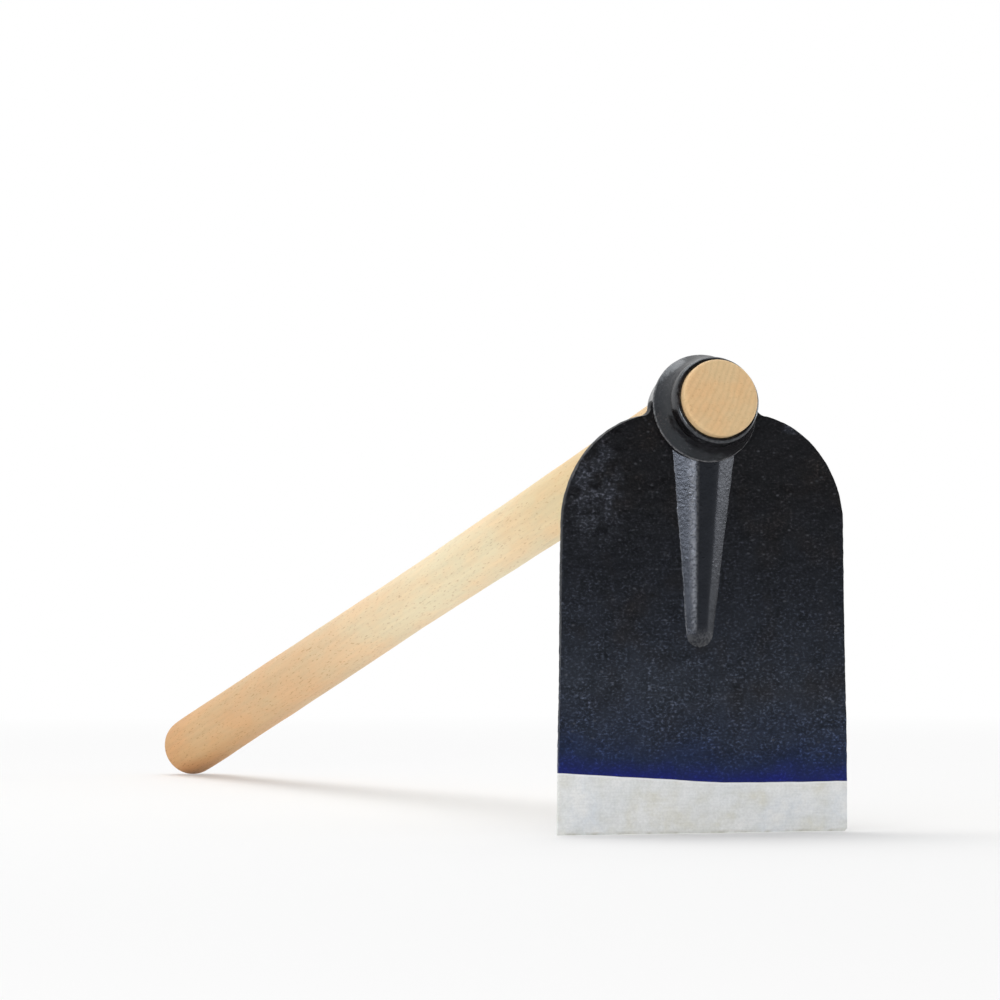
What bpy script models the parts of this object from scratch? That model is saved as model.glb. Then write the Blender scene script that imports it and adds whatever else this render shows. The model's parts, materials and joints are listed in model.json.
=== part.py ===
"""Draw hoe with a round drop-through eye: a steel head and a flared wooden handle.

Metres, +Z up. The hoe stands as it is set down: the cutting edge and the butt of the handle
are on the ground, the blade is upright and its outer face looks along -Y. The origin is the
middle of the cutting edge.
"""

import math

import bmesh
import bpy
from mathutils import Matrix, Vector

# Blade: X across, Z up from the cutting edge, Y through the thickness, its front face flat
EDGE_WIDTH = 0.170
SHOULDER_WIDTH = 0.164
BLADE_HEIGHT = 0.2285
SHOULDER_REACH = 0.057
SHOULDER_DROP = 0.0615
BLADE_THICKNESS = 0.0050
BAND_THICKNESS = 0.0026
EDGE_LAND = 0.0010
GROUND_BAND = 0.028
GRIND_SET_BACK = 0.0009

# Eye socket: a tapered ring, set above the top of the shoulders and measured along its own axis
# from the upright plane of the edge
EYE_RISE = 0.0025
EYE_TILT = math.radians(13.0)
EYE_FRONT = 0.0225
EYE_BACK = 0.0175
BORE_FRONT = 0.0430
BORE_BACK = 0.0400
RIM_FRONT = 0.0486
RIM_BACK = 0.0530
COLLAR_FOOT = 0.0603
COLLAR_FOOT_FORWARD = 0.0030
RIM_ROUND = 0.0012
NECK_REACH = 0.0370
NECK_HORN = 0.0048
NECK_WALL = 0.0012

# Rib: runs down the outer face from under the collar
RIB_BOTTOM = 0.1020
RIB_TOP_WIDTH = 0.0400
RIB_END_WIDTH = 0.0145
RIB_TOP_CREST = 0.0154
RIB_END_CREST = 0.0058
RIB_TOP_RELIEF = 0.0072
RIB_END_RELIEF = 0.0036

# Handle: its flared end is drawn into the eye from the front
HANDLE_LENGTH = 0.981
HANDLE_PROUD = 0.006
WAIST_DIAMETER = 0.0348
WAIST_FROM_FLARED_END = 0.480
FLARE_RUN = 0.130
FLARE_FOOT_DIAMETER = 0.0366
BUTT_DIAMETER = 0.0376
BUTT_ROUND = 0.0075
FLARED_END_ROUND = 0.0020

# Fits between pieces that touch
WELD_GAP = 0.0003
SEAT_GAP = 0.0003

BLADE_FRONT = EDGE_LAND / 2 + GRIND_SET_BACK
EYE_HEIGHT = BLADE_HEIGHT + EYE_RISE

TURN_STEPS = 48
ARC_STEPS = 14
ROUND_STEPS = 4
HANDLE_RINGS = 9
OVERCUT = 0.005

LACQUER_BLACK = (0.014, 0.016, 0.022, 1.0)
FORGE_BLACK = (0.018, 0.019, 0.024, 1.0)
COLLAR_BLACK = (0.022, 0.023, 0.028, 1.0)
BEECH = (0.70, 0.50, 0.29, 1.0)


def clear_scene():
    for obj in list(bpy.data.objects):
        bpy.data.objects.remove(obj)


def collection(name):
    group = bpy.data.collections.new(name)
    bpy.context.scene.collection.children.link(group)
    return group


def finish(name, colour, roughness, metallic):
    material = bpy.data.materials.new(name)
    material.use_nodes = True
    shader = material.node_tree.nodes["Principled BSDF"]
    shader.inputs["Base Color"].default_value = colour
    shader.inputs["Roughness"].default_value = roughness
    shader.inputs["Metallic"].default_value = metallic
    material.diffuse_color = colour
    return material


def empty(name, location, turn_about_x, parent=None):
    guide = bpy.data.objects.new(name, None)
    bpy.context.scene.collection.objects.link(guide)
    guide.parent = parent
    guide.location = location
    guide.rotation_euler = (turn_about_x, 0.0, 0.0)
    return guide


def place(mesh, name, group, parent, material=None):
    obj = bpy.data.objects.new(name, mesh)
    group.objects.link(obj)
    obj.parent = parent
    if material:
        mesh.materials.append(material)
    return obj


def smooth(mesh, sharp_degrees=30.0):
    mesh.shade_smooth()
    mesh.set_sharp_from_angle(angle=math.radians(sharp_degrees))


def quarter_round(centre, radius, start_degrees, end_degrees):
    points = []
    for step in range(ROUND_STEPS + 1):
        angle = math.radians(start_degrees + (end_degrees - start_degrees) * step / ROUND_STEPS)
        points.append((centre[0] + radius * math.cos(angle), centre[1] + radius * math.sin(angle)))
    return points


def turned(name, profile, closed, group, parent, material=None):
    """Turn a profile of (radius, height) points round the local Z axis."""
    count = len(profile)
    edges = [(i, i + 1) for i in range(count - 1)]
    if closed:
        edges.append((count - 1, 0))
    mesh = bpy.data.meshes.new(name)
    mesh.from_pydata([(radius, 0.0, height) for radius, height in profile], edges, [])
    obj = place(mesh, name, group, parent, material)
    screw = obj.modifiers.new("turn", "SCREW")
    screw.axis = "Z"
    screw.steps = TURN_STEPS
    screw.render_steps = TURN_STEPS
    screw.use_merge_vertices = True
    screw.merge_threshold = 0.00001
    screw.use_smooth_shade = True
    return obj


def extruded(name, outline, thickness):
    """Fill a closed outline of (x, z) points and give it a thickness along Y, as a mesh."""
    curve = bpy.data.curves.new(name, "CURVE")
    curve.dimensions = "2D"
    curve.fill_mode = "BOTH"
    curve.extrude = thickness / 2
    spline = curve.splines.new("POLY")
    spline.points.add(len(outline) - 1)
    for point, (x, z) in zip(spline.points, outline):
        point.co = (x, z, 0.0, 1.0)
    spline.use_cyclic_u = True
    holder = bpy.data.objects.new(name, curve)
    bpy.context.scene.collection.objects.link(holder)
    graph = bpy.context.evaluated_depsgraph_get()
    mesh = bpy.data.meshes.new_from_object(holder.evaluated_get(graph))
    bpy.data.objects.remove(holder)
    mesh.transform(Matrix.Rotation(math.pi / 2, 4, "X"))
    return mesh


def mirrored(half):
    """Close a half outline, listed from the bottom to the top at +X, with its mirror image."""
    return half + [(-x, z) for x, z in reversed(half) if x > 0]


def cut(obj, cutter):
    boolean = obj.modifiers.new("cut " + cutter.name, "BOOLEAN")
    boolean.operation = "DIFFERENCE"
    boolean.object = cutter


def socket_outside(gap, overcut):
    """The socket's outer side from the front rim to the back rim, grown by a gap."""
    front = RIM_FRONT / 2 + gap
    foot = COLLAR_FOOT / 2 + gap
    back = RIM_BACK / 2 + gap
    return [
        (front, EYE_FRONT + overcut),
        (front, EYE_FRONT),
        (foot, COLLAR_FOOT_FORWARD + gap),
        (foot, COLLAR_FOOT_FORWARD - RIM_ROUND - gap),
        (back, -EYE_BACK),
        (back, -EYE_BACK - overcut),
    ]


def make_socket(group, parent):
    front = RIM_FRONT / 2
    foot = COLLAR_FOOT / 2
    back = RIM_BACK / 2
    turn = RIM_ROUND
    profile = [(BORE_FRONT / 2, EYE_FRONT)]
    profile += quarter_round((front - turn, EYE_FRONT - turn), turn, 90, 0)
    profile += [(foot - turn / 2, COLLAR_FOOT_FORWARD)]
    profile += [(foot, COLLAR_FOOT_FORWARD - turn / 2)]
    profile += [(foot, COLLAR_FOOT_FORWARD - turn)]
    profile += quarter_round((back - turn, turn - EYE_BACK), turn, 0, -90)
    profile += [(BORE_BACK / 2, -EYE_BACK)]
    steel = finish("collar lacquer", COLLAR_BLACK, 0.32, 0.0)
    return turned("eye_socket", profile, True, group, parent, steel)


def make_socket_cutter(group, parent):
    outside = socket_outside(WELD_GAP, OVERCUT)
    profile = [(0.0, outside[0][1])] + outside + [(0.0, outside[-1][1])]
    cutter = turned("socket_clearance", profile, False, group, parent)
    cutter.hide_render = True
    cutter.display_type = "WIRE"
    return cutter


def blade_outline():
    """From the end of the cutting edge up the side, round the shoulder and up the neck to the eye."""
    side_top = BLADE_HEIGHT - SHOULDER_DROP
    shoulder_x = SHOULDER_WIDTH / 2 - SHOULDER_REACH
    neck_turn = math.acos((NECK_REACH - shoulder_x) / SHOULDER_REACH)
    half = [(EDGE_WIDTH / 2, 0.0)]
    for step in range(ARC_STEPS + 1):
        angle = neck_turn * step / ARC_STEPS
        half.append((shoulder_x + SHOULDER_REACH * math.cos(angle),
                     side_top + SHOULDER_DROP * math.sin(angle)))
    neck_z = half[-1][1]
    horn_x = COLLAR_FOOT / 2 + NECK_WALL
    for step in range(1, ROUND_STEPS + 1):
        angle = math.pi / 2 * step / ROUND_STEPS
        half.append((horn_x + (NECK_REACH - horn_x) * (1 - math.sin(angle)),
                     neck_z + NECK_HORN * (1 - math.cos(angle))))
    return mirrored(half)


def blade_faces(z):
    """How far the front stands before the plane of the edge at a height, and the thickness."""
    if z >= GROUND_BAND:
        rise = (z - GROUND_BAND) / (BLADE_HEIGHT - GROUND_BAND)
        return BLADE_FRONT, BAND_THICKNESS + (BLADE_THICKNESS - BAND_THICKNESS) * rise
    rise = z / GROUND_BAND
    return (EDGE_LAND / 2 + GRIND_SET_BACK * rise,
            EDGE_LAND + (BAND_THICKNESS - EDGE_LAND) * rise)


def make_blade(group, parent, cutter):
    mesh = extruded("blade", blade_outline(), BLADE_THICKNESS)
    work = bmesh.new()
    work.from_mesh(mesh)
    bmesh.ops.remove_doubles(work, verts=work.verts, dist=0.00001)
    everything = work.verts[:] + work.edges[:] + work.faces[:]
    bmesh.ops.bisect_plane(work, geom=everything, dist=0.000001,
                           plane_co=(0.0, 0.0, GROUND_BAND), plane_no=(0.0, 0.0, 1.0))
    for vert in work.verts:
        front, thickness = blade_faces(vert.co.z)
        vert.co.y = -front if vert.co.y < 0 else thickness - front
    work.to_mesh(mesh)
    work.free()
    smooth(mesh)
    steel = finish("blade lacquer", LACQUER_BLACK, 0.45, 0.0)
    blade = place(mesh, "blade", group, parent, steel)
    cut(blade, cutter)
    return blade


def make_rib(group, parent, cutter):
    """A ridge with sloping sides and a round lower end, its back against the blade."""
    end_radius = RIB_END_WIDTH / 2
    end_centre = RIB_BOTTOM + end_radius
    length = EYE_HEIGHT - RIB_BOTTOM
    half = []
    for step in range(ARC_STEPS + 1):
        angle = math.pi / 2 * step / ARC_STEPS
        half.append((end_radius * math.sin(angle), end_centre - end_radius * math.cos(angle)))
    half.append((RIB_TOP_WIDTH / 2, EYE_HEIGHT))
    mesh = extruded("rib", mirrored(half), 2 * RIB_TOP_RELIEF)
    work = bmesh.new()
    work.from_mesh(mesh)
    bmesh.ops.remove_doubles(work, verts=work.verts, dist=0.00001)
    root = -BLADE_FRONT - WELD_GAP
    for vert in work.verts:
        if vert.co.y > 0:
            vert.co.y = root
            continue
        rise = max(0.0, (vert.co.z - end_centre) / (EYE_HEIGHT - end_centre))
        foot = RIB_END_WIDTH + (RIB_TOP_WIDTH - RIB_END_WIDTH) * rise
        crest = RIB_END_CREST + (RIB_TOP_CREST - RIB_END_CREST) * rise
        vert.co.x *= crest / foot
        if vert.co.z < end_centre:
            vert.co.z = end_centre - (end_centre - vert.co.z) * RIB_END_CREST / RIB_END_WIDTH
        run = (vert.co.z - RIB_BOTTOM) / length
        vert.co.y = root - RIB_END_RELIEF - (RIB_TOP_RELIEF - RIB_END_RELIEF) * run
    work.to_mesh(mesh)
    work.free()
    smooth(mesh)
    steel = finish("rib lacquer", FORGE_BLACK, 0.35, 0.0)
    rib = place(mesh, "rib", group, parent, steel)
    cut(rib, cutter)
    return rib


def ease(start, start_slope, end, end_slope, run, along):
    """A smooth curve between two radii with their slopes, run long, at a share along it."""
    square = along * along
    cube = square * along
    return ((2 * cube - 3 * square + 1) * start + (cube - 2 * square + along) * run * start_slope
            + (3 * square - 2 * cube) * end + (cube - square) * run * end_slope)


def handle_profile():
    """(radius, distance from the flared end), from the flared end to the butt."""
    eye_length = EYE_FRONT + EYE_BACK
    seat_front = BORE_FRONT / 2 - SEAT_GAP
    seat_back = BORE_BACK / 2 - SEAT_GAP
    taper = (seat_front - seat_back) / eye_length
    end_radius = seat_front + taper * HANDLE_PROUD
    flare_start = HANDLE_PROUD + eye_length
    flare_end = flare_start + FLARE_RUN
    waist = WAIST_DIAMETER / 2
    butt = BUTT_DIAMETER / 2
    butt_start = HANDLE_LENGTH - BUTT_ROUND
    points = [(0.0, 0.0)]
    points += [(end_radius - x, y) for x, y in
               quarter_round((FLARED_END_ROUND, FLARED_END_ROUND), FLARED_END_ROUND, 270, 180)]
    points += [(seat_back, flare_start)]
    shaft_slope = (waist - FLARE_FOOT_DIAMETER / 2) / (WAIST_FROM_FLARED_END - flare_end)
    spans = (
        (flare_start, seat_back, -taper, flare_end, FLARE_FOOT_DIAMETER / 2, shaft_slope),
        (flare_end, FLARE_FOOT_DIAMETER / 2, shaft_slope, WAIST_FROM_FLARED_END, waist, 0.0),
        (WAIST_FROM_FLARED_END, waist, 0.0, butt_start, butt, 0.0),
    )
    for start, radius_a, slope_a, end, radius_b, slope_b in spans:
        for step in range(1, HANDLE_RINGS + 1):
            along = step / HANDLE_RINGS
            radius = ease(radius_a, slope_a, radius_b, slope_b, end - start, along)
            points.append((radius, start + (end - start) * along))
    points += quarter_round((butt - BUTT_ROUND, butt_start), BUTT_ROUND, 0, 90)[1:]
    points += [(0.0, HANDLE_LENGTH)]
    return points


def stance_lean():
    """The turn about the cutting edge that brings the butt of the handle to the ground."""
    reach = HANDLE_PROUD + EYE_FRONT
    lowest = min(
        (EYE_HEIGHT - (far - reach) * math.sin(EYE_TILT) - radius * math.cos(EYE_TILT),
         (far - reach) * math.cos(EYE_TILT) - radius * math.sin(EYE_TILT))
        for radius, far in handle_profile()
    )
    return -math.atan2(lowest[0], lowest[1])


def make_handle(group, parent):
    flared_end = EYE_FRONT + HANDLE_PROUD
    profile = [(radius, flared_end - far) for radius, far in handle_profile()]
    wood = finish("beech", BEECH, 0.6, 0.0)
    return turned("handle", profile, False, group, parent, wood)


def main():
    clear_scene()
    parts = collection("draw hoe")
    cutters = collection("cutters")
    lean = stance_lean()
    stance = empty("stance", (0.0, 0.0, 0.0), lean)
    eye_axis = empty("eye_axis", (0.0, 0.0, EYE_HEIGHT), math.pi / 2 - EYE_TILT, stance)
    cutter = make_socket_cutter(cutters, eye_axis)
    make_socket(parts, eye_axis)
    make_blade(parts, stance, cutter)
    make_rib(parts, stance, cutter)
    make_handle(parts, eye_axis)
    bpy.context.view_layer.update()
    along = eye_axis.matrix_world.to_3x3() @ Vector((0.0, 0.0, 1.0))
    print("lean in degrees", round(math.degrees(lean), 4))
    print("eye", [round(value, 6) for value in eye_axis.matrix_world.translation])
    print("eye axis", [round(value, 6) for value in along])


main()
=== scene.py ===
import json
import math

import bmesh
import bpy
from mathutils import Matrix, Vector


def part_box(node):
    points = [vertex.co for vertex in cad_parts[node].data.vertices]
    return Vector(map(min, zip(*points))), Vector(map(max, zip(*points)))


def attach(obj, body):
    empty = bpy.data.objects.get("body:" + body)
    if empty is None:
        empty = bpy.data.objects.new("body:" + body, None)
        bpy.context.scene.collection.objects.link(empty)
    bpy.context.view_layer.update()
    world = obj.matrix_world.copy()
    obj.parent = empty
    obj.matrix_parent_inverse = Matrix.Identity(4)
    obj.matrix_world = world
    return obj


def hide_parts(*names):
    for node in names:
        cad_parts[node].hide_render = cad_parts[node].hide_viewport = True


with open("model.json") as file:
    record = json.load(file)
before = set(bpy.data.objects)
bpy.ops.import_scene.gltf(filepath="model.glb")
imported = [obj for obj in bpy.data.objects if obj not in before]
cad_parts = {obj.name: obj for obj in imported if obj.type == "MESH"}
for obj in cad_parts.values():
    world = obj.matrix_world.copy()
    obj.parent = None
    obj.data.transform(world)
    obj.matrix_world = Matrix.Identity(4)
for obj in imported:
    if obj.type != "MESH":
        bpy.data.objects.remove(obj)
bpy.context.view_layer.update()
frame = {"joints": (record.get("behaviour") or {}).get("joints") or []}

# Metres, +Z up. The cutting edge stands on the floor at the origin, the outer face looks
# along -Y, and the handle runs back along +Y from the eye down to the floor.

eyeAxis = Vector(frame["joints"][0]["axis"]).normalized()    # the way the handle draws out
eyeTurn = math.atan2(-eyeAxis.y, eyeAxis.z)                  # turns +Z onto that axis
tiny = 1e-6


def freshStart():
    if bpy.context.object and bpy.context.object.mode != "OBJECT":
        bpy.ops.object.mode_set(mode="OBJECT")
    bpy.ops.object.select_all(action="DESELECT")


def named(name):                                  # the primitive just added gets its name
    piece = bpy.context.object
    piece.name = name
    piece.data.name = name
    return piece


def applyPlace():
    bpy.ops.object.transform_apply(location=True, rotation=True, scale=True)


def pickVerts(piece, test):
    bpy.ops.mesh.select_mode(type="VERT")
    bpy.ops.mesh.select_all(action="DESELECT")
    cage = bmesh.from_edit_mesh(piece.data)
    for vert in cage.verts:
        if test(vert.co):
            vert.select = True
    cage.select_flush(True)
    bmesh.update_edit_mesh(piece.data)


def pickEdges(piece, test):
    bpy.ops.mesh.select_mode(type="EDGE")
    bpy.ops.mesh.select_all(action="DESELECT")
    cage = bmesh.from_edit_mesh(piece.data)
    for edge in cage.edges:
        if test(edge):
            edge.select_set(True)
    bmesh.update_edit_mesh(piece.data)


def upright(edge):                                # how much height an edge covers
    return abs(edge.verts[0].co.z - edge.verts[1].co.z)


def finishWith(piece, kind, **settings):          # adds a modifier, sets it and applies it
    modifier = piece.modifiers.new(kind.lower(), kind)
    for key, value in settings.items():
        setattr(modifier, key, value)
    bpy.context.view_layer.objects.active = piece
    bpy.ops.object.modifier_apply(modifier=modifier.name)


def weigh(piece, name, weight):                   # a vertex group with a weight for each place
    group = piece.vertex_groups.new(name=name)
    for vert in piece.data.vertices:
        group.add([vert.index], min(1.0, max(0.0, weight(vert.co))), "REPLACE")
    return group.name


def roughen(piece, name, kind, grain, depth, group="", stretch=(1, 1, 1)):   # real relief, clouds or pits
    texture = bpy.data.textures.new(name, kind)
    texture.noise_scale = grain
    if kind == "CLOUDS":
        texture.noise_depth = 2
    freshStart()
    bpy.ops.object.empty_add()
    guide = bpy.context.object
    guide.scale = stretch
    finishWith(piece, "DISPLACE", texture=texture, texture_coords="OBJECT", texture_coords_object=guide,
               strength=depth, mid_level=0.5, vertex_group=group)
    bpy.data.objects.remove(guide)


def smoothShade(piece, degrees):
    freshStart()
    piece.select_set(True)
    bpy.context.view_layer.objects.active = piece
    bpy.ops.object.shade_smooth_by_angle(angle=math.radians(degrees))


def ease(low, high, value):                       # 0 below low, 1 above high, smooth between
    share = min(1.0, max(0.0, (value - low) / (high - low)))
    return share * share * (3 - 2 * share)


def settle(piece, body, node, material):    # finish, body, and the solid that it stands for
    piece.data.materials.clear()
    piece.data.materials.append(material)
    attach(piece, body)
    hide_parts(node)
    triangles = sum(len(face.vertices) - 2 for face in piece.data.polygons)
    print(piece.name, "has", triangles, "triangles")


# Nodes, in short
def feed(tree, socket, value):
    if isinstance(value, bpy.types.NodeSocket):
        tree.links.new(value, socket)
    else:
        socket.default_value = value


def calc(tree, operation, first, second=0.0, clamp=False):
    made = tree.nodes.new("ShaderNodeMath")
    made.operation = operation
    made.use_clamp = clamp
    feed(tree, made.inputs[0], first)
    feed(tree, made.inputs[1], second)
    return made.outputs[0]


def mapped(tree, coords, scale=(1, 1, 1), kind="POINT", turn=(0, 0, 0), place=(0, 0, 0)):
    made = tree.nodes.new("ShaderNodeMapping")
    made.vector_type = kind
    feed(tree, made.inputs["Vector"], coords)
    made.inputs["Scale"].default_value = scale
    made.inputs["Rotation"].default_value = turn
    made.inputs["Location"].default_value = place
    return made.outputs[0]


def noise(tree, coords, scale, detail=2.0, rough=0.5):
    made = tree.nodes.new("ShaderNodeTexNoise")
    feed(tree, made.inputs["Vector"], coords)
    made.inputs["Scale"].default_value = scale
    made.inputs["Detail"].default_value = detail
    made.inputs["Roughness"].default_value = rough
    return made.outputs[0]


def cells(tree, coords, scale):                   # distance to the nearest spot, and its own chance
    made = tree.nodes.new("ShaderNodeTexVoronoi")
    feed(tree, made.inputs["Vector"], coords)
    made.inputs["Scale"].default_value = scale
    parts = tree.nodes.new("ShaderNodeSeparateXYZ")
    tree.links.new(made.outputs["Color"], parts.inputs[0])
    return made.outputs["Distance"], parts.outputs[0]


def ramp(tree, value, stops):                     # stops are (place, colour or grey)
    made = tree.nodes.new("ShaderNodeValToRGB")
    feed(tree, made.inputs[0], value)
    elements = made.color_ramp.elements
    while len(elements) < len(stops):
        elements.new(0.5)
    for element, (place, colour) in zip(elements, stops):
        element.position = place
        element.color = (colour, colour, colour, 1) if isinstance(colour, float) else (*colour, 1)
    return made.outputs[0]


def blended(tree, share, first, second, how="MIX"):
    made = tree.nodes.new("ShaderNodeMix")
    made.data_type = "RGBA"
    made.blend_type = how
    feed(tree, made.inputs[0], share)
    for socket, colour in ((made.inputs[6], first), (made.inputs[7], second)):
        feed(tree, socket, colour if isinstance(colour, bpy.types.NodeSocket) else (*colour, 1))
    return made.outputs[2]


def bumped(tree, height, strength, distance):
    made = tree.nodes.new("ShaderNodeBump")
    made.inputs["Strength"].default_value = strength
    made.inputs["Distance"].default_value = distance
    feed(tree, made.inputs["Height"], height)
    return made.outputs[0]


def newMaterial(name):
    material = bpy.data.materials.new(name)
    material.use_nodes = True
    tree = material.node_tree
    coords = tree.nodes.new("ShaderNodeTexCoord").outputs["Object"]
    return material, tree, tree.nodes["Principled BSDF"], coords


# Lacquer of the head: black at the eye, blue-black lower down, a clear blue where it thins out
# over the ground edge, and bare steel below
lacquer = {
    "lineLow": 0.0273, "lineClimb": 0.0065, "climbFrom": 0.012, "climbRun": 0.097,    # paint line, higher on the left
    "lineRagged": 0.0009, "lineSoft": 0.0003,
    "fadeHeight": 0.200, "fadeCloud": 0.026, "calmRise": 0.022,
    "fade": [(0.000, (0.0070, 0.0110, 0.1250)), (0.022, (0.0090, 0.0150, 0.0900)),
             (0.055, (0.0120, 0.0200, 0.0570)), (0.110, (0.0185, 0.0245, 0.0440)),
             (0.240, (0.0232, 0.0276, 0.0390)), (0.380, (0.0152, 0.0178, 0.0255)),
             (0.540, (0.0100, 0.0110, 0.0152)), (0.800, (0.0070, 0.0064, 0.0074))],
    "warm": (0.0135, 0.0100, 0.0082), "warmRise": 0.055, "speck": (0.026, 0.027, 0.031),
    "scuffs": [((-0.063, 0.186), (0.018, 0.036)), ((0.0525, 0.2205), (0.008, 0.0035))],     # place and half size
    "scuff": (0.030, 0.032, 0.041),
    "steelWarm": (0.690, 0.685, 0.630), "steelCool": (0.680, 0.710, 0.740), "steelPale": (0.790, 0.795, 0.790),
    # the last grey below is a painted highlight grey, laid by the per-point attribute on the rib and on the eye
    "edgeDark": (0.420, 0.400, 0.330), "brightLine": (0.88, 0.885, 0.90), "highlightGrey": (0.150, 0.150, 0.155),
    "sheen": (0.80, 0.90, 1.0),
}


def headLacquer(name, gloss, shine, pebble, depth=1.0, sheen=lacquer["sheen"]):
    material, tree, shader, coords = newMaterial(name)
    parts = tree.nodes.new("ShaderNodeSeparateXYZ")
    tree.links.new(coords, parts.inputs[0])
    across, up = parts.outputs[0], parts.outputs[2]

    # the line that the paint was ground back to climbs to the left and wavers a little
    climb = calc(tree, "DIVIDE", calc(tree, "SUBTRACT", lacquer["climbFrom"], across), lacquer["climbRun"], clamp=True)
    line = calc(tree, "ADD", lacquer["lineLow"], calc(tree, "MULTIPLY", climb, lacquer["lineClimb"]))
    wander = calc(tree, "SUBTRACT", noise(tree, coords, 45.0, 3.0), 0.5)
    line = calc(tree, "ADD", line, calc(tree, "MULTIPLY", wander, lacquer["lineRagged"]))
    rise = calc(tree, "SUBTRACT", up, line)
    bare = calc(tree, "SUBTRACT", 0.5, calc(tree, "DIVIDE", rise, lacquer["lineSoft"]), clamp=True)

    # paint: a fade up the blade, brownish clouds, and grain and pale specks, partly the scale's own mottle and partly
    # painted glints off its pebbles
    cloud = calc(tree, "SUBTRACT", noise(tree, coords, 28.0, 3.0), 0.5)
    drift = calc(tree, "MULTIPLY", cloud, lacquer["fadeCloud"])
    paint = ramp(tree, calc(tree, "DIVIDE", calc(tree, "ADD", rise, drift), lacquer["fadeHeight"]),
                 lacquer["fade"])
    warmth = ramp(tree, noise(tree, coords, 34.0, 2.0), [(0.52, 0.0), (0.72, 0.6)])
    above = calc(tree, "DIVIDE", rise, lacquer["warmRise"], clamp=True)
    paint = blended(tree, calc(tree, "MULTIPLY", warmth, above), paint, lacquer["warm"])
    flakes = mapped(tree, coords, (0.68, 1.0, 1.0))               # the scale lies in short level flakes
    coarse = ramp(tree, noise(tree, flakes, 170.0, 3.0, 0.55), [(0.30, 0.60), (0.70, 1.40)])
    fine = ramp(tree, noise(tree, flakes, 760.0, 2.5, 0.6),
                [(0.34, 0.36), (0.53, 0.78), (0.64, 2.30), (0.74, 4.20)])
    grain = blended(tree, 1.0, coarse, fine, "MULTIPLY")
    calm = calc(tree, "DIVIDE", rise, lacquer["calmRise"], clamp=True)          # smoother where it thins out
    rougher = ramp(tree, noise(tree, coords, 62.0, 3.0, 0.6), [(0.38, 0.25), (0.62, 1.0)])
    amount = calc(tree, "ADD", calc(tree, "MULTIPLY", calc(tree, "MULTIPLY", calm, rougher), 0.75), 0.25)
    paint = blended(tree, amount, paint, grain, "MULTIPLY")
    spotFar, spotChance = cells(tree, mapped(tree, coords, (0.8, 1.0, 1.2), turn=(0.0, 0.5, 0.0)), 330.0)
    spot = calc(tree, "MULTIPLY", calc(tree, "SUBTRACT", 0.32, spotFar), 6.0, clamp=True)
    spot = calc(tree, "MULTIPLY", spot, ramp(tree, spotChance, [(0.76, 0.0), (0.98, 1.0)]))
    paint = blended(tree, calc(tree, "MULTIPLY", spot, calm), paint, lacquer["speck"], "ADD")
    scuffed = 0.0
    for (placeX, placeZ), (wideX, wideZ) in lacquer["scuffs"]:
        aside = calc(tree, "POWER", calc(tree, "DIVIDE", calc(tree, "SUBTRACT", across, placeX), wideX), 2.0)
        higher = calc(tree, "POWER", calc(tree, "DIVIDE", calc(tree, "SUBTRACT", up, placeZ), wideZ), 2.0)
        inside = calc(tree, "SUBTRACT", 1.0, calc(tree, "ADD", aside, higher), clamp=True)
        scuffed = calc(tree, "MAXIMUM", scuffed, inside)
    shreds = ramp(tree, noise(tree, coords, 105.0, 4.0, 0.6), [(0.40, 0.0), (0.62, 1.0)])
    scuffed = calc(tree, "MULTIPLY", calc(tree, "MULTIPLY", scuffed, 1.3, clamp=True), shreds)
    paint = blended(tree, scuffed, paint, blended(tree, 1.0, fine, lacquer["scuff"], "MULTIPLY"))
    # darkens the whole coat by depth; on the rib this is a painted shade
    paint = blended(tree, 1.0, paint, (depth,) * 3, "MULTIPLY")

    # bare steel: cloudy, with faint grinding marks, palest along the line and darker along the very edge
    brushed = noise(tree, mapped(tree, coords, (90.0, 700.0, 900.0)), 1.0, 2.0)
    patchy = noise(tree, coords, 75.0, 5.0, 0.65)
    tint = ramp(tree, noise(tree, coords, 38.0, 3.0), [(0.40, lacquer["steelWarm"]), (0.60, lacquer["steelCool"])])
    pale = calc(tree, "ADD", calc(tree, "MULTIPLY", brushed, 0.12), calc(tree, "MULTIPLY", patchy, 0.88))
    steel = blended(tree, ramp(tree, pale, [(0.38, 0.0), (0.64, 1.0)]), tint, lacquer["steelPale"])
    grit = ramp(tree, noise(tree, coords, 760.0, 2.0), [(0.30, 0.94), (0.70, 1.05)])
    marks = ramp(tree, brushed, [(0.30, 0.97), (0.70, 1.02)])
    steel = blended(tree, 1.0, blended(tree, 1.0, steel, grit, "MULTIPLY"), marks, "MULTIPLY")
    low = calc(tree, "SUBTRACT", 1.0, calc(tree, "DIVIDE", up, 0.0018), clamp=True)
    low = calc(tree, "MULTIPLY", low, ramp(tree, noise(tree, coords, 150.0, 3.0), [(0.40, 0.05), (0.65, 1.0)]))
    steel = blended(tree, calc(tree, "MULTIPLY", low, 0.85), steel, lacquer["edgeDark"])
    near = calc(tree, "ADD", 1.0, calc(tree, "DIVIDE", rise, 0.0014), clamp=True)
    steel = blended(tree, calc(tree, "MULTIPLY", near, 0.7), steel, lacquer["brightLine"])

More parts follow.
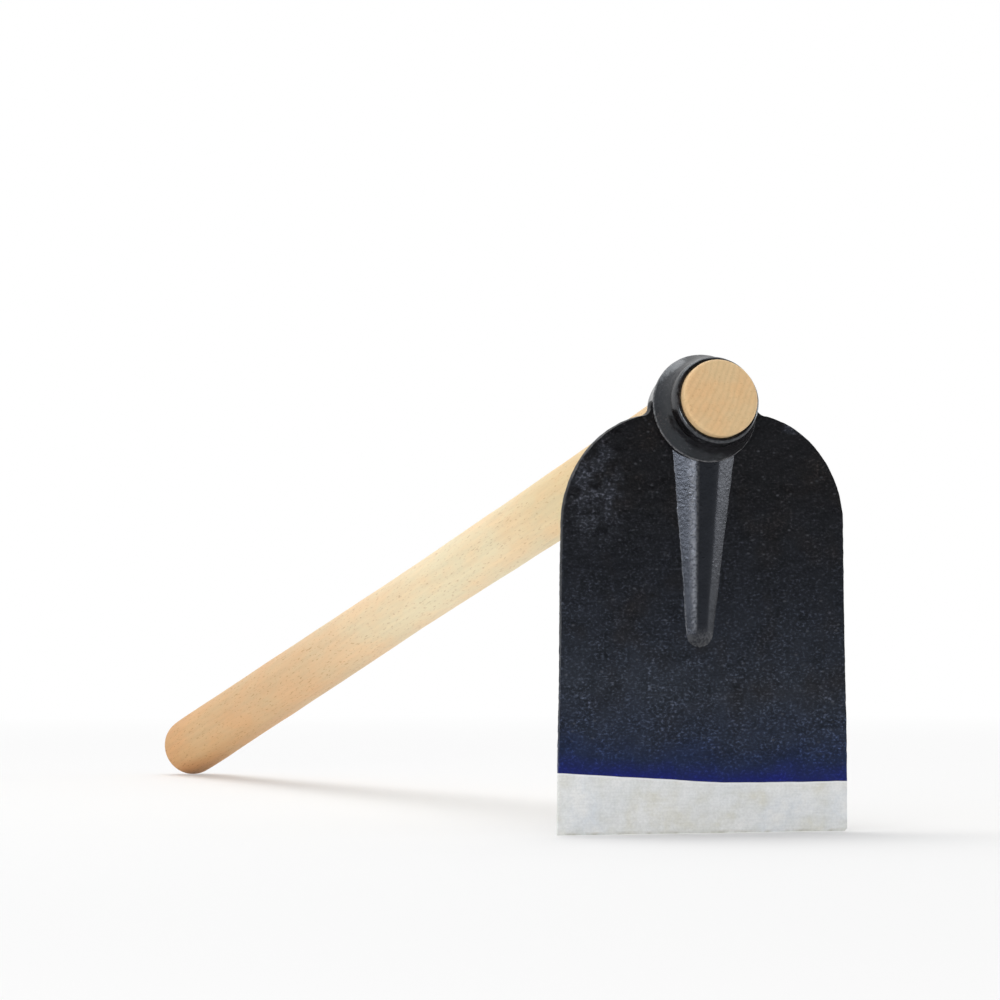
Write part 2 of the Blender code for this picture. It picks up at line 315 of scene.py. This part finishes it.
    # painted highlight: a paler grey laid where the per-point attribute asks, standing for highlights and reflections
    # on the rib and along the eye's foot
    paintedHighlight = tree.nodes.new("ShaderNodeAttribute")
    paintedHighlight.attribute_name = "paintedHighlight"
    highlightGrey = calc(tree, "MULTIPLY", paintedHighlight.outputs["Fac"],
                ramp(tree, noise(tree, coords, 640.0, 3.0), [(0.36, 0.15), (0.60, 1.0)]))
    paint = blended(tree, highlightGrey, paint, lacquer["highlightGrey"])
    feed(tree, shader.inputs["Base Color"], blended(tree, bare, paint, steel))
    feed(tree, shader.inputs["Metallic"], calc(tree, "MULTIPLY", bare, 0.25))
    dull = calc(tree, "MULTIPLY", calc(tree, "SUBTRACT", noise(tree, coords, 120.0, 4.0), 0.5), 0.25)
    dull = calc(tree, "ADD", gloss, dull)
    feed(tree, shader.inputs["Roughness"], calc(tree, "ADD", dull, calc(tree, "MULTIPLY", bare, 0.48 - gloss)))
    shader.inputs["Specular IOR Level"].default_value = shine
    shader.inputs["Specular Tint"].default_value = (*sheen, 1)

    # pebbled skin on the paint, fine brushing on the steel
    skin = calc(tree, "ADD", noise(tree, coords, 520.0, 3.0, 0.6), calc(tree, "MULTIPLY", spot, 0.5))
    skin = calc(tree, "MULTIPLY", skin, calc(tree, "SUBTRACT", 1.0, bare))
    skin = calc(tree, "ADD", skin, calc(tree, "MULTIPLY", calc(tree, "MULTIPLY", brushed, bare), 0.10))
    feed(tree, shader.inputs["Normal"], bumped(tree, skin, pebble, 0.0006))
    return material


# Blade
plate = {
    "edgeHalf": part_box("blade")[1].x, "shoulderHalf": 0.082,
    "shoulderTop": 0.2285, "shoulderReach": 0.057, "shoulderDrop": 0.0615,
    "neckHalf": 0.0370, "hornHalf": 0.0310, "hornRise": 0.0046, "tuckIn": 0.0022, "tuckRise": 0.0040,
    "front": 0.0014, "landThick": 0.0010, "bandThick": 0.0026, "topThick": 0.0050,
    "setBack": 0.0009, "edgeRound": 0.0004, "cornerWear": 0.0008,
    "shoulderSteps": 36, "neckSteps": 6, "tuckSteps": 4, "wayThrough": 0.0250,
}


def plateRows():                                  # (half width, height) from the top of the sides to the neck
    sideTop = plate["shoulderTop"] - plate["shoulderDrop"]
    centre = plate["shoulderHalf"] - plate["shoulderReach"]
    neckTurn = math.acos((plate["neckHalf"] - centre) / plate["shoulderReach"])
    rows = []
    for step in range(plate["shoulderSteps"] + 1):
        angle = neckTurn * step / plate["shoulderSteps"]
        rows.append((centre + plate["shoulderReach"] * math.cos(angle),
                     sideTop + plate["shoulderDrop"] * math.sin(angle)))
    neckZ = rows[-1][1]
    for step in range(1, plate["neckSteps"] + 1):
        angle = math.pi / 2 * step / plate["neckSteps"]
        rows.append((plate["hornHalf"] + (plate["neckHalf"] - plate["hornHalf"]) * (1 - math.sin(angle)),
                     neckZ + plate["hornRise"] * (1 - math.cos(angle))))
    hornZ = rows[-1][1]
    for step in range(1, plate["tuckSteps"] + 1):
        angle = math.pi / 2 * step / plate["tuckSteps"]
        rows.append((plate["hornHalf"] - plate["tuckIn"] * (1 - math.cos(angle)),
                     hornZ + plate["tuckRise"] * math.sin(angle)))
    return rows


def plateFaces(x, z):                             # how far the front stands forward, and the thickness
    climb = min(1.0, max(0.0, (lacquer["climbFrom"] - x) / lacquer["climbRun"]))
    band = lacquer["lineLow"] + lacquer["lineClimb"] * climb
    if z < band:
        share = z / band
        return (plate["landThick"] / 2 + plate["setBack"] * share,
                plate["landThick"] + (plate["bandThick"] - plate["landThick"]) * share)
    share = (z - band) / (plate["shoulderTop"] - band)
    return plate["front"], plate["bandThick"] + (plate["topThick"] - plate["bandThick"]) * share


def cutThrough(piece):                            # the eye's wall hides the edge of this hole
    freshStart()
    bpy.ops.mesh.primitive_cylinder_add(vertices=96, radius=plate["wayThrough"], depth=0.1,
                                        location=eye["centre"], rotation=(eyeTurn, 0, 0))
    cutter = named("eye_way")
    finishWith(piece, "BOOLEAN", operation="DIFFERENCE", solver="EXACT", object=cutter)
    bpy.data.objects.remove(cutter)


def makePlate(material):
    rows = plateRows()
    sideTop = rows[0][1]
    freshStart()
    bpy.ops.mesh.primitive_plane_add(size=1, location=(0, 0, sideTop / 2), rotation=(math.pi / 2, 0, 0))
    piece = named("blade_plate")
    piece.scale = (2 * plate["edgeHalf"], sideTop, 1)
    applyPlace()
    bpy.ops.object.mode_set(mode="EDIT")
    pickVerts(piece, lambda at: at.z > sideTop - tiny)
    bpy.ops.transform.resize(value=(rows[0][0] / plate["edgeHalf"], 1, 1))
    for (halfWas, was), (half, now) in zip(rows, rows[1:]):      # draw the top edge up round the shoulders
        bpy.ops.mesh.extrude_region_move(TRANSFORM_OT_translate={"value": (0, 0, now - was)})
        bpy.ops.transform.resize(value=(half / halfWas, 1, 1))
    for cuts in (15, 7):                                         # 128 columns
        pickEdges(piece, lambda edge: upright(edge) < tiny)
        bpy.ops.mesh.subdivide(number_cuts=cuts)
    for cuts, longest in ((15, 0.1), (7, 0.008), (1, 0.002)):    # rows about as close
        pickEdges(piece, lambda edge: upright(edge) > longest)
        bpy.ops.mesh.subdivide(number_cuts=cuts)
    pickVerts(piece, lambda at: at.x > plate["edgeHalf"] - tiny and at.z < tiny)     # worn right corner
    bpy.ops.transform.translate(value=(-plate["cornerWear"], 0, plate["cornerWear"]))
    bpy.ops.object.mode_set(mode="OBJECT")
    finishWith(piece, "SOLIDIFY", thickness=plate["topThick"], offset=-1.0)
    for vert in piece.data.vertices:
        front, thick = plateFaces(vert.co.x, vert.co.z)
        vert.co.y = thick - front if vert.co.y > plate["topThick"] / 2 else -front
    finishWith(piece, "BEVEL", width=plate["edgeRound"], segments=2, limit_method="ANGLE",
               angle_limit=math.radians(50))
    cutThrough(piece)
    painted = weigh(piece, "painted", lambda at: ease(0.030, 0.038, at.z))
    (pitX, pitZ), (wideX, wideZ) = lacquer["scuffs"][0]
    pitted = weigh(piece, "pitted", lambda at: math.exp(
        -((at.x - pitX) / wideX) ** 2 - ((at.z - pitZ) / wideZ) ** 2) if at.y < 0 else 0.0)
    roughen(piece, "hammered", "CLOUDS", 0.045, 0.0009, painted)
    roughen(piece, "scaled", "CLOUDS", 0.0036, 0.00060, painted, (1.8, 1.0, 1.0))
    roughen(piece, "pits", "STUCCI", 0.0036, 0.0014, pitted)
    smoothShade(piece, 40)
    settle(piece, "head", "blade", material)
    return piece


# Rib: its outline is lifted into full flanks with a soft foot and a narrow crest
ridge = {
    "bottom": 0.1008, "top": 0.2120, "topWidth": 0.0394, "endWidth": 0.0169,
    "topRelief": 0.0077, "endRelief": 0.0032, "flank": 0.70, "belly": 0.12, "crestSoft": 0.20, "footSoft": 0.08,
    "sunk": 0.0010, "skirt": 0.0012, "back": 0.0006, "lean": 0.024, "columns": 80, "slices": 140,
    # painted highlight and reflection: how much paler the lacquer is laid at the end, along the foot and down the left
    # shoulder
    "endReflection": 0.30, "footHighlight": 0.50, "footLine": 0.0006,
    "shoulderHighlight": 0.85, "shoulderAt": 0.58, "shoulderWide": 0.18, "sheen": (0.74, 0.82, 1.0),
}
ridge["endZ"] = ridge["bottom"] + ridge["endWidth"] / 2
ridge["endHalf"] = ridge["endWidth"] / 2 + ridge["skirt"]
ridge["topHalf"] = ridge["topWidth"] / 2 + ridge["skirt"]


def ridgeShares(x, z):                            # how far up the rib, and how far in from its outline
    along = min(1.0, max(0.0, (z - ridge["endZ"]) / (ridge["top"] - ridge["endZ"])))
    half = ridge["endHalf"] + (ridge["topHalf"] - ridge["endHalf"]) * along
    return along, max(0.0, 1 - math.hypot(x, min(0.0, z - ridge["endZ"])) / half)


def ridgeHeight(x, z):                            # above the sunk foot
    along, inward = ridgeShares(x, z)
    soft = ridge["footSoft"]
    inward = inward - soft / 2 if inward > soft else inward ** 2 / (2 * soft)
    climb = inward / ridge["flank"]
    knee = max(0.0, 1 - abs(climb - 1) / ridge["crestSoft"])
    climb = min(1.0, climb) - knee ** 2 * ridge["crestSoft"] / 4
    tall = ridge["endRelief"] + (ridge["topRelief"] - ridge["endRelief"]) * along + ridge["sunk"]
    return tall * climb * (1 + ridge["belly"] * (1 - climb))


def makeRidge(material):
    face = -plate["front"] + ridge["sunk"]
    low = ridge["endZ"] - ridge["endHalf"]
    tall = ridge["top"] - low
    freshStart()
    bpy.ops.mesh.primitive_plane_add(size=1, location=(0, face, low + tall / 2), rotation=(math.pi / 2, 0, 0))
    piece = named("rib_ridge")
    piece.scale = (2 * ridge["topHalf"], tall, 1)
    applyPlace()
    bpy.ops.object.mode_set(mode="EDIT")
    pickVerts(piece, lambda at: at.z < low + tiny)
    bpy.ops.transform.resize(value=(ridge["endHalf"] / ridge["topHalf"], 1, 1))
    bpy.ops.mesh.bevel(affect="VERTICES", offset=0.98 * ridge["endHalf"], segments=16)     # round lower end
    for column in range(1, ridge["columns"]):
        bpy.ops.mesh.select_all(action="SELECT")
        bpy.ops.mesh.bisect(plane_co=(ridge["topHalf"] * (2 * column / ridge["columns"] - 1), 0, 0), plane_no=(1, 0, 0))
    for slice in range(1, ridge["slices"]):
        bpy.ops.mesh.select_all(action="SELECT")
        bpy.ops.mesh.bisect(plane_co=(0, 0, low + tall * slice / ridge["slices"]), plane_no=(0, 0, 1))
    bpy.ops.object.mode_set(mode="OBJECT")
    for vert in piece.data.vertices:
        vert.co.y = face - ridgeHeight(vert.co.x, vert.co.z)
        vert.co.x -= ridge["lean"] * (ridge["top"] - vert.co.z)                  # its foot stands to the left
    bpy.ops.object.mode_set(mode="EDIT")
    pickEdges(piece, lambda edge: edge.is_boundary)                              # closed inside the blade
    bpy.ops.mesh.extrude_region_move(TRANSFORM_OT_translate={"value": (0, ridge["sunk"], 0)})
    bpy.ops.transform.resize(value=(1, 0, 1), center_override=(0, ridge["back"], 0))
    bpy.ops.mesh.extrude_region_move(TRANSFORM_OT_translate={"value": (0, 0, 0)})
    bpy.ops.mesh.merge(type="CENTER")
    bpy.ops.mesh.select_all(action="SELECT")
    bpy.ops.mesh.normals_make_consistent(inside=False)
    bpy.ops.object.mode_set(mode="OBJECT")
    raised = weigh(piece, "raised", lambda at: ease(0.0008, 0.0030, -plate["front"] - at.y))
    paintedHighlight = piece.data.attributes.new("paintedHighlight", "FLOAT", "POINT")
    for vert, paintedLight in zip(piece.data.vertices, paintedHighlight.data):        # painted reflection at its end, painted highlight along its left foot and down its left shoulder
        aside = vert.co.x + ridge["lean"] * (ridge["top"] - vert.co.z)
        inward = ridgeShares(aside, vert.co.z)[1]
        end = 1 - ease(ridge["endZ"] - 0.003, ridge["endZ"] + 0.004, vert.co.z)
        foot = 1 - ease(0.0, ridge["footLine"], -plate["front"] - vert.co.y)
        shoulder = max(0.0, 1 - abs(inward - ridge["shoulderAt"]) / ridge["shoulderWide"])
        paintedLight.value = ridge["endReflection"] * end
        if aside < 0 or vert.co.z < ridge["endZ"]:
            paintedLight.value = max(paintedLight.value, ridge["footHighlight"] * foot)
        if aside < 0:
            paintedLight.value = max(paintedLight.value, ridge["shoulderHighlight"] * shoulder * (1 - end))
    roughen(piece, "ridgeWaves", "CLOUDS", 0.016, 0.0002, raised, (1, 1, 2))
    roughen(piece, "ridgeScale", "CLOUDS", 0.0016, 0.000028, raised, (1, 1, 1.5))
    smoothShade(piece, 40)
    settle(piece, "head", "rib", material)
    return piece


# Eye, turned about its own axis: bore, rim, lip, groove, bell and foot
eye = {
    "centre": (0, 0, 0.231), "front": 0.0225, "back": -0.0175,
    "boreFront": 0.0215, "boreBack": 0.0200, "rimOuter": 0.0242, "lipEnd": 0.0150, "lipOuter": 0.0248,
    "groove": 0.0004, "footRadius": 0.03015, "footAt": 0.0030, "footUnder": 0.0012, "backOuter": 0.0265,
    "sides": 128, "bellSteps": 7, "rimRound": 0.0018, "boreRound": 0.0006, "footRound": 0.0004,
}


def eyeRings():                                   # (radius, place along the axis), up the bore and down the outside
    rings = [(eye["boreBack"], eye["back"])]
    for step in range(1, 9):
        share = step / 8
        rings.append((eye["boreBack"] + (eye["boreFront"] - eye["boreBack"]) * share,
                      eye["back"] + (eye["front"] - eye["back"]) * share))
    rings += [(eye["rimOuter"], eye["front"]), (eye["lipOuter"], eye["lipEnd"]),
              (eye["lipOuter"] - eye["groove"], eye["lipEnd"] - 2 * eye["groove"])]
    for step in range(1, eye["bellSteps"] + 1):   # the bell flares towards its foot
        share = step / eye["bellSteps"]
        rings.append((eye["lipOuter"] + (eye["footRadius"] - eye["lipOuter"]) * share ** 1.35,
                      eye["lipEnd"] - 3 * eye["groove"]
                      + (eye["footAt"] - eye["lipEnd"] + 3 * eye["groove"]) * share))
    rings.append((eye["footRadius"], eye["footAt"] - eye["footUnder"]))
    for step in range(1, 5):
        share = step / 4
        rings.append((eye["footRadius"] - eye["footUnder"] / 2
                      + (eye["backOuter"] - eye["footRadius"] + eye["footUnder"] / 2) * share,
                      eye["footAt"] - eye["footUnder"] + (eye["back"] - eye["footAt"] + eye["footUnder"]) * share))
    return rings


def drawOut(name, rings, sides):                  # a circle drawn out ring by ring along Z
    freshStart()
    bpy.ops.mesh.primitive_circle_add(vertices=sides, radius=rings[0][0], location=(0, 0, rings[0][1]))
    piece = named(name)
    applyPlace()
    bpy.ops.object.mode_set(mode="EDIT")
    bpy.ops.mesh.select_all(action="SELECT")
    for (radiusWas, was), (radius, now) in zip(rings, rings[1:]):
        bpy.ops.mesh.extrude_region_move(TRANSFORM_OT_translate={"value": (0, 0, now - was)})
        bpy.ops.transform.resize(value=(radius / radiusWas, radius / radiusWas, 1), center_override=(0, 0, now))
    return piece


def ringEdges(piece, radius, place):              # picks the loop at a radius and a place along Z
    def on(vert):
        return abs(vert.co.z - place) < 1e-5 and abs(math.hypot(vert.co.x, vert.co.y) - radius) < 1e-5
    pickEdges(piece, lambda edge: on(edge.verts[0]) and on(edge.verts[1]))


def tipOver(piece):                               # from upright on the origin onto the eye's axis
    bpy.ops.object.mode_set(mode="OBJECT")
    piece.rotation_euler = (eyeTurn, 0, 0)
    piece.location = eye["centre"]
    applyPlace()


def makeEye(material):
    piece = drawOut("eye_collar", eyeRings(), eye["sides"])
    pickEdges(piece, lambda edge: edge.is_boundary)
    bpy.ops.mesh.bridge_edge_loops()
    bpy.ops.mesh.select_all(action="SELECT")
    bpy.ops.mesh.normals_make_consistent(inside=False)
    for radius, place, width in ((eye["boreFront"], eye["front"], eye["boreRound"]),
                                 (eye["rimOuter"], eye["front"], eye["rimRound"]),
                                 (eye["footRadius"], eye["footAt"], eye["footRound"]),
                                 (eye["backOuter"], eye["back"], eye["rimRound"]),
                                 (eye["boreBack"], eye["back"], eye["boreRound"])):
        ringEdges(piece, radius, place)
        bpy.ops.mesh.bevel(affect="EDGES", offset=width, segments=4)
    tipOver(piece)
    finishWith(piece, "SUBSURF", subdivision_type="SIMPLE", levels=1, render_levels=1)
    paintedHighlight = piece.data.attributes.new("paintedHighlight", "FLOAT", "POINT")
    for vert, paintedLight in zip(piece.data.vertices, paintedHighlight.data):        # painted highlight along the foot, and paler along the rim
        out = vert.co - Vector(eye["centre"])
        place = out.dot(eyeAxis)
        radius = (out - eyeAxis * place).length
        foot = math.hypot(radius - eye["footRadius"], place - eye["footAt"])
        rim = math.hypot(radius - eye["rimOuter"], place - eye["front"])
        paintedLight.value = max(1 - ease(0.0003, 0.0008, foot), 0.3 - 0.3 * ease(0.0006, 0.0018, rim))
    roughen(piece, "eyeWaves", "CLOUDS", 0.014, 0.0004)
    roughen(piece, "eyeScale", "CLOUDS", 0.0030, 0.00012)
    smoothShade(piece, 40)
    settle(piece, "head", "eye_socket", material)
    return piece


# Handle: turned beech, its flared end seated in the eye
shaft = {
    "length": 0.981, "proud": 0.006, "seatGap": 0.0003, "flareRun": 0.130, "flareFoot": 0.0183,
    "waist": 0.0174, "waistAt": 0.480, "butt": 0.0188, "buttRound": 0.0075, "endRound": 0.0020,
    "sides": 96, "ringEvery": 0.014, "roundSteps": 6,
}


def hermite(start, startSlope, end, endSlope, run, share):
    square, cube = share ** 2, share ** 3
    return ((2 * cube - 3 * square + 1) * start + (cube - 2 * square + share) * run * startSlope
            + (3 * square - 2 * cube) * end + (cube - square) * run * endSlope)


def shaftRings():                                 # (radius, place along the axis), from the flared end to the butt
    eyeLength = eye["front"] - eye["back"]
    seatFront = eye["boreFront"] - shaft["seatGap"]
    seatBack = eye["boreBack"] - shaft["seatGap"]
    taper = (seatFront - seatBack) / eyeLength
    endRadius = seatFront + taper * shaft["proud"]
    flareStart = shaft["proud"] + eyeLength
    flareEnd = flareStart + shaft["flareRun"]
    buttStart = shaft["length"] - shaft["buttRound"]
    slope = (shaft["waist"] - shaft["flareFoot"]) / (shaft["waistAt"] - flareEnd)
    rings = []
    for step in range(shaft["roundSteps"] + 1):
        angle = math.pi / 2 * step / shaft["roundSteps"]
        rings.append((endRadius - shaft["endRound"] * (1 - math.sin(angle)),
                      shaft["endRound"] * (1 - math.cos(angle))))
    spans = ((shaft["endRound"], rings[-1][0], -taper, flareStart, seatBack, -taper),
             (flareStart, seatBack, -taper, flareEnd, shaft["flareFoot"], slope),
             (flareEnd, shaft["flareFoot"], slope, shaft["waistAt"], shaft["waist"], 0.0),
             (shaft["waistAt"], shaft["waist"], 0.0, buttStart, shaft["butt"], 0.0))
    for start, radiusWas, slopeWas, end, radius, slopeNow in spans:
        steps = max(2, round((end - start) / shaft["ringEvery"]))
        for step in range(1, steps + 1):
            rings.append((hermite(radiusWas, slopeWas, radius, slopeNow, end - start, step / steps),
                          start + (end - start) * step / steps))
    for step in range(1, shaft["roundSteps"] + 1):
        angle = math.pi / 2 * step / shaft["roundSteps"]
        rings.append((shaft["butt"] - shaft["buttRound"] * (1 - math.cos(angle)),
                      buttStart + shaft["buttRound"] * math.sin(angle)))
    top = eye["front"] + shaft["proud"]
    return [(radius, top - far) for radius, far in rings]


def capEnd(piece, place):                         # draws the end loop in to its middle
    pickEdges(piece, lambda edge: edge.is_boundary and abs(edge.verts[0].co.z - place) < 1e-5)
    for share in (0.8, 0.6, 0.4):
        bpy.ops.mesh.extrude_region_move(TRANSFORM_OT_translate={"value": (0, 0, 0)})
        bpy.ops.transform.resize(value=(share, share, 1), center_override=(0, 0, place))
    bpy.ops.mesh.extrude_region_move(TRANSFORM_OT_translate={"value": (0, 0, 0)})
    bpy.ops.mesh.merge(type="CENTER")


def makeShaft(material):
    rings = shaftRings()
    piece = drawOut("beech_handle", rings, shaft["sides"])
    capEnd(piece, rings[0][1])
    capEnd(piece, rings[-1][1])
    bpy.ops.mesh.select_all(action="SELECT")
    bpy.ops.mesh.normals_make_consistent(inside=False)
    tipOver(piece)
    finishWith(piece, "SUBSURF", levels=1, render_levels=1)
    freeEnd = Vector(eye["centre"]) + eyeAxis * eye["back"]
    free = weigh(piece, "free", lambda at: ease(0.01, 0.10, (freeEnd - at).dot(eyeAxis)))
    roughen(piece, "shaftWaves", "CLOUDS", 0.11, 0.0010, free)
    smoothShade(piece, 40)
    settle(piece, "handle", "handle", material)
    return piece


# Beech: pale, a little pinker towards the butt, with short brown flecks along the grain; the tone along it is palest in
# the middle, partly the wood's own and partly a painted highlight
beech = {
    "along": [(0.00, (0.655, 0.365, 0.150)), (0.06, (0.680, 0.430, 0.205)), (0.16, (0.705, 0.475, 0.255)),
              (0.28, (0.720, 0.505, 0.285)), (0.38, (0.790, 0.605, 0.375)), (0.52, (0.850, 0.715, 0.475)),
              (0.68, (0.840, 0.695, 0.450)), (0.80, (0.760, 0.585, 0.330)), (1.00, (0.690, 0.500, 0.280))],
    "fleck": (0.330, 0.130, 0.028), "blush": (1.040, 0.965, 0.920), "cream": (0.985, 1.015, 1.030),
    "pith": (0.085, -0.045, 0.0), "ringSpacing": 0.0034,
}


def beechWood():
    material, tree, shader, coords = newMaterial("beech")
    own = mapped(tree, coords, kind="TEXTURE", turn=(eyeTurn, 0, 0), place=eye["centre"])   # +Z along the handle
    parts = tree.nodes.new("ShaderNodeSeparateXYZ")
    tree.links.new(own, parts.inputs[0])
    top = eye["front"] + shaft["proud"]
    share = calc(tree, "DIVIDE", calc(tree, "SUBTRACT", parts.outputs[2], top - shaft["length"]), shaft["length"])
    drift = calc(tree, "MULTIPLY", calc(tree, "SUBTRACT", noise(tree, mapped(tree, own, (40, 40, 6)), 1.0, 3.0), 0.5), 0.16)
    # painted highlight: this tone along the handle is palest around its middle, where the light falls most, besides the
    # wood's own pinker butt
    wood = ramp(tree, calc(tree, "ADD", share, drift), beech["along"])
    blush = ramp(tree, noise(tree, mapped(tree, own, (62, 62, 17)), 1.0, 3.0, 0.55),
                 [(0.38, beech["blush"]), (0.62, beech["cream"])])
    wood = blended(tree, 1.0, wood, blush, "MULTIPLY")

    # growth rings and rays, clear on the end and faint along the sides
    endOn = calc(tree, "MULTIPLY", calc(tree, "SUBTRACT", parts.outputs[2], top - 0.0012), 1500.0, clamp=True)
    rings = tree.nodes.new("ShaderNodeTexWave")
    rings.wave_type = "RINGS"
    rings.rings_direction = "Z"
    tree.links.new(mapped(tree, own, (1, 1, 0.10), place=beech["pith"]), rings.inputs["Vector"])
    rings.inputs["Scale"].default_value = math.tau / 20 / beech["ringSpacing"]
    rings.inputs["Distortion"].default_value = 4.0
    rings.inputs["Detail"].default_value = 2.0
    rings.inputs["Detail Scale"].default_value = 0.9
    ringTone = ramp(tree, rings.outputs[0], [(0.0, 0.84), (0.4, 0.98), (1.0, 1.03)])
    ringShare = calc(tree, "ADD", 0.14, calc(tree, "MULTIPLY", endOn, 0.28))
    wood = blended(tree, ringShare, wood, blended(tree, 1.0, wood, ringTone, "MULTIPLY"))
    streaks = ramp(tree, noise(tree, mapped(tree, own, (380, 380, 22)), 1.0, 3.0, 0.6), [(0.30, 0.955), (0.70, 1.03)])
    wood = blended(tree, 1.0, wood, streaks, "MULTIPLY")
    outwards = math.atan2(beech["pith"][1], beech["pith"][0])
    radial = mapped(tree, mapped(tree, own, turn=(0, 0, -outwards)), (420, 1700, 60))
    rays = ramp(tree, noise(tree, radial, 1.0, 3.0, 0.6), [(0.34, 0.92), (0.52, 1.01)])
    wood = blended(tree, calc(tree, "MULTIPLY", endOn, 0.5), wood, blended(tree, 1.0, wood, rays, "MULTIPLY"))
    flecks = ramp(tree, noise(tree, mapped(tree, own, (1150, 1150, 190)), 1.0, 1.5), [(0.61, 0.0), (0.73, 1.0)])
    fleckShare = calc(tree, "SUBTRACT", 0.48, calc(tree, "MULTIPLY", share, 0.20))          # thicker towards the butt
    wood = blended(tree, calc(tree, "MULTIPLY", flecks, fleckShare), wood, beech["fleck"])
    wood = blended(tree, calc(tree, "MULTIPLY", endOn, 0.16), wood, beech["fleck"])
    feed(tree, shader.inputs["Base Color"], wood)
    feed(tree, shader.inputs["Roughness"], calc(tree, "ADD", 0.50, calc(tree, "MULTIPLY", flecks, 0.2)))
    shader.inputs["Specular IOR Level"].default_value = 0.20
    grain = calc(tree, "SUBTRACT", noise(tree, mapped(tree, own, (1100, 1100, 60)), 1.0, 2.0), flecks)
    feed(tree, shader.inputs["Normal"], bumped(tree, grain, 0.25, 0.0002))
    return material


# Studio: pale floor that fades into a white surround, soft light from the left
studio = {
    "floorSize": 14.0, "floorTone": (0.85, 0.85, 0.85), "fadeFrom": 0.25, "fadeTo": 2.20,
    "surround": 0.57, "frontGrey": 0.03,
    "lamps": [("leftStrip", (-2.06, -2.70, 0.30), (1.40, 0.54), 41.0),     # place, width and height, watts
              ("rightPanel", (3.20, -0.14, 0.36), (1.90, 0.66), 28.0),
              ("topSoft", (-0.40, 0.60, 3.00), (2.70, 2.70), 62.0)],
    "lampsAim": (-0.02, 0.05, 0.13),
}


def makeFloor():
    freshStart()
    bpy.ops.mesh.primitive_plane_add(size=studio["floorSize"], location=(0, 0, -0.0004))
    floor = named("floor")
    applyPlace()
    material, tree, shader, coords = newMaterial("pale floor")
    shader.inputs["Base Color"].default_value = (*studio["floorTone"], 1)
    shader.inputs["Roughness"].default_value = 0.9
    far = tree.nodes.new("ShaderNodeVectorMath")
    far.operation = "LENGTH"
    tree.links.new(coords, far.inputs[0])
    share = calc(tree, "DIVIDE", calc(tree, "SUBTRACT", far.outputs["Value"], studio["fadeFrom"]),
                 studio["fadeTo"] - studio["fadeFrom"], clamp=True)
    light = tree.nodes.new("ShaderNodeLightPath")
    seen = calc(tree, "ADD", light.outputs["Is Glossy Ray"], light.outputs["Is Transmission Ray"])
    seen = calc(tree, "ADD", seen, light.outputs["Is Camera Ray"], clamp=True)
    share = calc(tree, "MULTIPLY", share, seen)
    white = tree.nodes.new("ShaderNodeEmission")
    mixed = tree.nodes.new("ShaderNodeMixShader")
    tree.links.new(share, mixed.inputs[0])
    tree.links.new(shader.outputs[0], mixed.inputs[1])
    tree.links.new(white.outputs[0], mixed.inputs[2])
    tree.links.new(mixed.outputs[0], tree.nodes["Material Output"].inputs[0])
    floor.data.materials.append(material)


def makeSurround():                               # white to the camera, darker in front for what is glossy
    world = bpy.data.worlds.new("surround")
    bpy.context.scene.world = world
    world.use_nodes = True
    tree = world.node_tree
    back = tree.nodes["Background"]
    parts = tree.nodes.new("ShaderNodeSeparateXYZ")
    tree.links.new(tree.nodes.new("ShaderNodeTexCoord").outputs["Generated"], parts.inputs[0])
    mirror = ramp(tree, calc(tree, "ADD", calc(tree, "MULTIPLY", parts.outputs[1], 0.5), 0.5),
                  [(0.28, studio["frontGrey"]), (0.60, 1.0)])
    light = tree.nodes.new("ShaderNodeLightPath")
    seen = calc(tree, "ADD", light.outputs["Is Glossy Ray"], light.outputs["Is Transmission Ray"], clamp=True)
    tone = blended(tree, seen, (studio["surround"],) * 3, mirror)
    tone = blended(tree, light.outputs["Is Camera Ray"], tone, (1.0, 1.0, 1.0))
    tree.links.new(tone, back.inputs["Color"])


def makeLamps():
    for name, place, size, power in studio["lamps"]:
        freshStart()
        bpy.ops.object.light_add(type="AREA", location=place)
        lamp = bpy.context.object
        lamp.name = name
        lamp.data.shape = "RECTANGLE"
        lamp.data.size, lamp.data.size_y = size
        lamp.data.energy = power
        lamp.rotation_euler = (Vector(studio["lampsAim"]) - Vector(place)).to_track_quat("-Z", "Y").to_euler()


# Camera: level with the head and turned a little to its left, so that the handle shows behind
shot = {"turn": 20.0, "lift": 0.0, "away": 4.0, "frameWidth": 0.5453, "headRight": 0.1107, "middleUp": 0.1816}


def makeCamera():
    turn, lift = math.radians(shot["turn"]), math.radians(shot["lift"])
    right = Vector((math.cos(turn), -math.sin(turn), 0))
    aim = Vector((0, 0, shot["middleUp"])) - right * shot["headRight"]
    back = Vector((-math.sin(turn) * math.cos(lift), -math.cos(turn) * math.cos(lift), math.sin(lift)))
    bpy.ops.object.camera_add(location=aim + back * shot["away"])
    camera = bpy.context.object
    camera.rotation_euler = (-back).to_track_quat("-Z", "Y").to_euler()
    camera.data.lens = camera.data.sensor_width * shot["away"] / shot["frameWidth"]
    camera.data.clip_end = 100
    bpy.context.scene.camera = camera


print("finishes")
bladeFinish = headLacquer("blade lacquer", 0.44, 0.18, 0.60)     # roughness, shine and relief of the skin
# the rib's coat is the blade's lacquer darkened to 0.15, a painted shade that keeps its crest dark
ridgeFinish = headLacquer("rib lacquer", 0.20, 0.38, 0.12, 0.15, ridge["sheen"])
eyeFinish = headLacquer("collar lacquer", 0.20, 0.50, 0.15)
woodFinish = beechWood()
print("pieces")
makePlate(bladeFinish)
makeRidge(ridgeFinish)
makeEye(eyeFinish)
makeShaft(woodFinish)
print("studio")
makeFloor()
makeSurround()
makeLamps()
makeCamera()
bpy.context.scene.view_settings.view_transform = "Standard"
